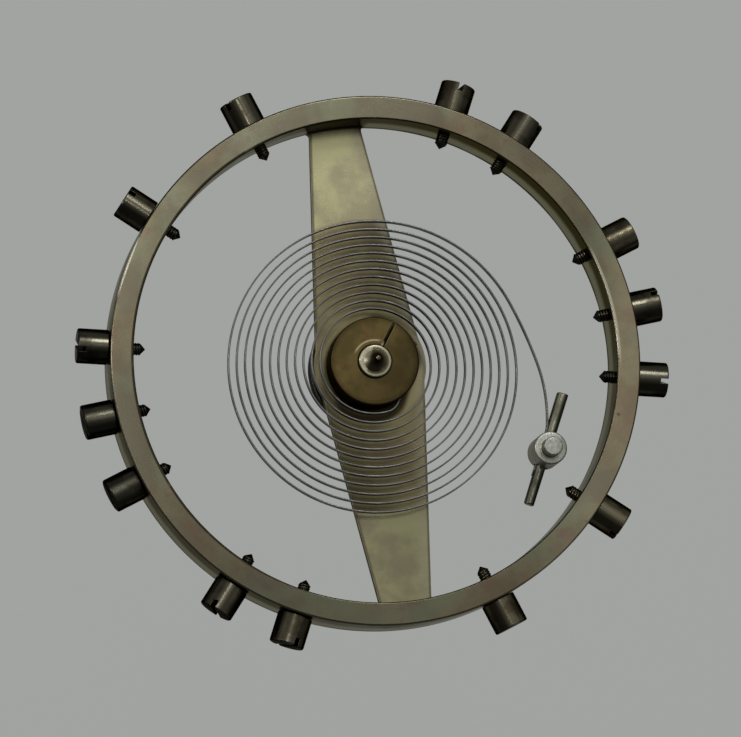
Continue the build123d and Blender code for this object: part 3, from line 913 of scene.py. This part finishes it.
def make_rollers():
    bore = roller_seat_radius + clearance
    table = turned("roller_table_look", eased([
        (bore, table_hub_bottom, 0.02), (table_hub_radius, table_hub_bottom, 0.03),
        (table_hub_radius, table_bottom, 0.02), (table_radius, table_bottom, 0.05),
        (table_radius, table_top, 0.035), (bore, table_top, 0.02),
    ]), 192, ring=True)
    worked(table, plate("jewel hole", jewel_outline(clearance), table_bottom - overrun,
                        table_top + overrun))
    broken_edges(table, 0.012)
    finished(table, "balance", roller_steel, seed=3.1)
    roller = turned("safety_roller_look", eased([
        (bore, safety_roller_bottom, 0.02), (safety_roller_radius, safety_roller_bottom, 0.035),
        (safety_roller_radius, safety_roller_top, 0.035), (bore, safety_roller_top, 0.02),
    ]), 160, ring=True)
    worked(roller, rod(crescent_radius, (safety_roller_radius, 0, safety_roller_bottom - overrun),
                       (safety_roller_radius, 0, safety_roller_top + overrun), 48))
    broken_edges(roller, 0.018)
    finished(roller, "balance", roller_steel, seed=8.7)
    jewel = plate("impulse_jewel_look", jewel_outline(), jewel_bottom, table_top)
    broken_edges(jewel, 0.02, 3)
    finished(jewel, "balance", ruby, seed=1.3)


# Hairspring: its route as in the part's source


def arc_points(place, way, radius, turn, steps):
    """Points of an arc from a place and a way, turning by an angle, without its first point."""
    side = Vector((-way.y, way.x, 0)) * (1 if turn > 0 else -1)
    centre = place + side * radius
    points = []
    for step in range(1, steps + 1):
        spin = Matrix.Rotation(radians(turn) * step / steps, 3, "Z")
        points.append((centre + spin @ (place - centre), spin @ way))
    return points


def run_points(place, way, length, steps):
    """Points along a straight run, without its first point."""
    return [(place + way * length * step / steps, way) for step in range(1, steps + 1)]


def arc_between(start, start_way, end, steps):
    """The arc that leaves a place along a way and ends at another place."""
    chord = end - start
    half = start_way.to_2d().angle_signed(chord.to_2d())
    radius = chord.length / 2 / abs(sin(half))
    return arc_points(start, start_way, radius, -degrees(2 * half), steps)


elbow_rise = collet_hole_offset - collet_elbow_radius
elbow_run = sqrt((spring_first_radius - collet_elbow_radius) ** 2 - elbow_rise**2)
elbow_angle = degrees(atan2(elbow_rise, elbow_run))
collet_hole_angle = stud_angle + outer_end_sweep + 180 * spring_half_turns - elbow_angle
collet_way = direction(collet_hole_angle)
collet_side = direction(collet_hole_angle + 90)
collet_half_chord = sqrt(collet_radius**2 - collet_hole_offset**2)
collet_line = collet_side * collet_hole_offset + spring_level
stud_centre = direction(stud_angle) * stud_place_radius + spring_level
stud_side = direction(stud_hole_angle)
stud_way = direction(stud_hole_angle - 90)
stud_line = stud_centre - stud_side * stud_strip_offset


def spring_route():
    """Places and ways along the strip's middle, and how far each place turns with the collet."""
    start = collet_line - collet_way * (collet_half_chord + strip_overhang / 2)
    route = [(start, collet_way)]
    route += run_points(start, collet_way, collet_half_chord + strip_overhang / 2 + elbow_run, 6)
    route += arc_points(*route[-1], collet_elbow_radius, elbow_angle - 90, 24)
    fixed_to_collet = len(route)
    drift = spring_outer_shift / spring_half_turns
    for half_turn in range(spring_half_turns):
        even = spring_first_radius + spring_pitch * (2 * half_turn + 1) / 4
        drift_side = 1 if (spring_half_turns - half_turn) % 2 == 0 else -1
        route += arc_points(*route[-1], even + drift_side * drift / 2, -180, 120)
    route += arc_points(*route[-1], even + outer_end_spread, -outer_end_turn, 60)
    elbow_end = stud_line - stud_way * (stud_body_radius + stud_elbow_gap)
    elbow_side = direction(stud_hole_angle + stud_elbow_turn)
    elbow_way = direction(stud_hole_angle + stud_elbow_turn - 90)
    elbow_start = elbow_end + (elbow_side - stud_side) * stud_elbow_radius
    place, way = route[-1]
    chord, ways = elbow_start - place, way + elbow_way
    spread = 2 * (1 - way.dot(elbow_way))
    reach = (-chord.dot(ways) + sqrt(chord.dot(ways) ** 2 + spread * chord.dot(chord))) / spread
    joint = (place + elbow_start + (way - elbow_way) * reach) / 2
    route += arc_between(place, way, joint, 40)
    route += arc_between(*route[-1], elbow_start, 40)
    fixed_to_stud = len(route)
    route += arc_points(*route[-1], stud_elbow_radius, -stud_elbow_turn, 12)
    route += run_points(*route[-1], stud_elbow_gap + 2 * stud_body_radius + strip_overhang, 6)
    lengths = [0.0]
    for (before, _), (after, _) in zip(route, route[1:]):
        lengths.append(lengths[-1] + (after - before).length)
    inner, outer = lengths[fixed_to_collet - 1], lengths[fixed_to_stud - 1]
    shares = [min(1, max(0, (outer - length) / (outer - inner))) for length in lengths]
    return route, shares


def make_hairspring():
    route, shares = spring_route()
    half_t, half_h = strip_thickness / 2, strip_height / 2
    corners = [(-half_t, -half_h), (half_t, -half_h), (half_t, half_h), (-half_t, half_h)]
    section = eased([(x, y, strip_edge) for x, y in corners], 2)
    sections = []
    for place, way in route:
        side = Vector((way.y, -way.x, 0))
        sections.append([place + side * across + Vector((0, 0, up)) for across, up in section])
    spring = drawn("hairspring_look", sections)
    finished(spring, None, spring_steel)
    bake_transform(spring)


# Collet, stud and their pins


def flat_pin(name, plane, flat, flat_side, ends, segments=40):
    """A pin with a flat along it, through a hole's frame. Each end is (distance, radius)."""
    sections = []
    for distance, radius in ends:
        opening = atan2(sqrt(radius**2 - flat**2), flat)
        turns = [opening + (tau - 2 * opening) * k / segments for k in range(segments + 1)]
        sections.append([
            plane @ Vector((flat_side * radius * cos(turn), radius * sin(turn), distance)) for turn in turns
        ])
    return drawn(name, sections)


def make_collet():
    bore = collet_seat_radius + clearance
    collet = turned("collet_look", eased([
        (bore, collet_bottom, 0.02), (collet_radius, collet_bottom, 0.03),
        (collet_radius, collet_top, 0.06), (bore, collet_top, 0.03),
    ]), 192, ring=True)
    worked(collet, slot_tool(bore - overrun, collet_radius + overrun, collet_slit_width,
                             collet_bottom - overrun, collet_top + overrun,
                             collet_hole_angle + collet_slit_turn))
    hole = collet_line - collet_side * collet_strip_offset
    reach = collet_way * (collet_radius + overrun)
    worked(collet, rod(collet_hole_radius, hole - reach, hole + reach, 40))
    broken_edges(collet, 0.018)
    finished(collet, "balance", collet_brass, seed=5.2)
    ends = [(elbow_run - 0.05, 0.118), (elbow_run - 0.075, 0.13), (-collet_half_chord - 0.10, 0.13),
            (-collet_half_chord - 0.13, 0.112)]
    pin = flat_pin("collet_pin_look", axis_matrix(hole, collet_way, collet_side), collet_pin_flat, -1, ends)
    finished(pin, "balance", pin_brass, seed=9.4)


def make_stud():
    stud = turned("stud_look", eased([
        (0, stud_bottom, 0), (stud_body_radius, stud_bottom, 0.06), (stud_body_radius, stud_shoulder, 0.06),
        (stud_foot_radius, stud_shoulder, 0.02), (stud_foot_radius, stud_top, 0.05), (0, stud_top, 0),
    ]), 96)
    own = Matrix.Translation((stud_centre.x, stud_centre.y, 0))
    stud.data.transform(own)
    reach = stud_way * (stud_body_radius + overrun)
    worked(stud, rod(stud_hole_radius, stud_centre - reach, stud_centre + reach, 40))
    broken_edges(stud, 0.02)
    finished(stud, "hairspring_stud", stud_steel, own, seed=2.6)
    ends = [(-1.86, 0.17), (-1.85, 0.19), (-1.82, 0.204), (1.64, 0.166), (1.67, 0.155), (1.68, 0.137)]
    pin = flat_pin("stud_pin_look", axis_matrix(stud_centre, stud_way, stud_side), stud_pin_flat, 1, ends)
    finished(pin, "hairspring_stud", pin_brass, seed=4.9)


make_rim()
for screw_number, screw_angle in enumerate(screw_angles, start=1):
    make_screw(screw_number, screw_angle)
make_staff()
make_rollers()
make_collet()
make_hairspring()
make_stud()

# Floor, background, lamps and camera, in metres

background = (0.381, 0.393, 0.381)
seen_rays = ("Is Camera Ray", "Is Glossy Ray", "Is Transmission Ray")
middle = spring_level * MM


def seen_share(tree):
    """One for the rays that show the background: the camera's, and those in gloss and glass."""
    rays = node(tree, "LightPath").outputs
    total = rays[seen_rays[0]]
    for label in seen_rays[1:]:
        total = math(tree, "MAXIMUM", total, rays[label])
    return total


def make_floor():
    half, height = 1.6, -0.07
    mesh = bpy.data.meshes.new("floor")
    corners = ((-half, -half), (half, -half), (half, half), (-half, half))
    mesh.from_pydata([(x, y, height) for x, y in corners], [], [(0, 1, 2, 3)])
    material, tree, shader = new_material("floor paper")
    feed(tree, shader.inputs, {"Base Color": (0.36, 0.365, 0.36), "Roughness": 0.9})
    glow = node(tree, "Emission", {"Color": background})
    feeds = enumerate((product(tree, seen_share(tree), 0.75), shader.outputs[0], glow.outputs[0]))
    surface = node(tree, "MixShader", feeds).outputs[0]
    feed(tree, tree.nodes["Material Output"].inputs, {"Surface": surface})
    mesh.materials.append(material)
    placed("floor", mesh)


def make_world():
    world = bpy.data.worlds.new("studio")
    bpy.context.scene.world = world
    world.use_nodes = True
    tree = world.node_tree
    way = node(tree, "TexCoord").outputs["Generated"]
    sky = scaled(tree, background, ranged(tree, along(tree, way, 75), -0.55, 0.70, 0.30, 1.80))
    colour = mixed(tree, seen_share(tree), (0.45, 0.45, 0.45), background)
    colour = mixed(tree, node(tree, "LightPath").outputs["Is Glossy Ray"], colour, sky)
    feed(tree, tree.nodes["Background"].inputs, {"Color": colour})


def make_lamp(name, azimuth, elevation, distance, size, power):
    """A square soft lamp that faces the middle of the wheel."""
    data = bpy.data.lights.new(name, "AREA")
    data.shape = "RECTANGLE"
    data.size, data.size_y = size
    data.energy = power
    lamp = placed(name, data)
    away = direction(azimuth, elevation)
    lamp.location = middle + away * distance
    lamp.rotation_mode = "QUATERNION"
    lamp.rotation_quaternion = (-away).to_track_quat("-Z", "Y")


def make_camera():
    """A long lens from the photograph's side, with the picture's upper edge towards up_angle."""
    azimuth, elevation, distance, up_angle = 217.4, 77.5, 0.1934, 81.4
    picture_width, shift_right, shift_up = 741, -2.6, -5.4
    data = bpy.data.cameras.new("camera")
    back = direction(azimuth, elevation)
    up = direction(up_angle)
    up = (up - back * up.dot(back)).normalized()
    camera = placed("camera", data)
    turn = Matrix((up.cross(back), up, back)).transposed().to_4x4()
    camera.matrix_world = Matrix.Translation(middle + back * distance) @ turn
    data.lens = 313.8
    data.sensor_fit = "HORIZONTAL"
    data.shift_x, data.shift_y = shift_right / picture_width, shift_up / picture_width
    data.clip_start, data.clip_end = 0.01, 10
    bpy.context.scene.camera = camera


make_floor()
make_world()
make_lamp("key lamp", 67, 56, 0.35, (0.060, 0.11), 0.30)
make_lamp("side lamp", 160, 37, 0.35, (0.035, 0.15), 0.28)
make_lamp("strip lamp", 115, 79, 0.35, (0.02, 0.09), 0.08)
make_lamp("top lamp", 45, 74, 0.35, (0.14, 0.18), 0.026)
make_lamp("fill lamp", 320, 35, 0.40, (0.20, 0.20), 0.06)
make_camera()

bpy.context.scene.view_settings.view_transform = "Standard"
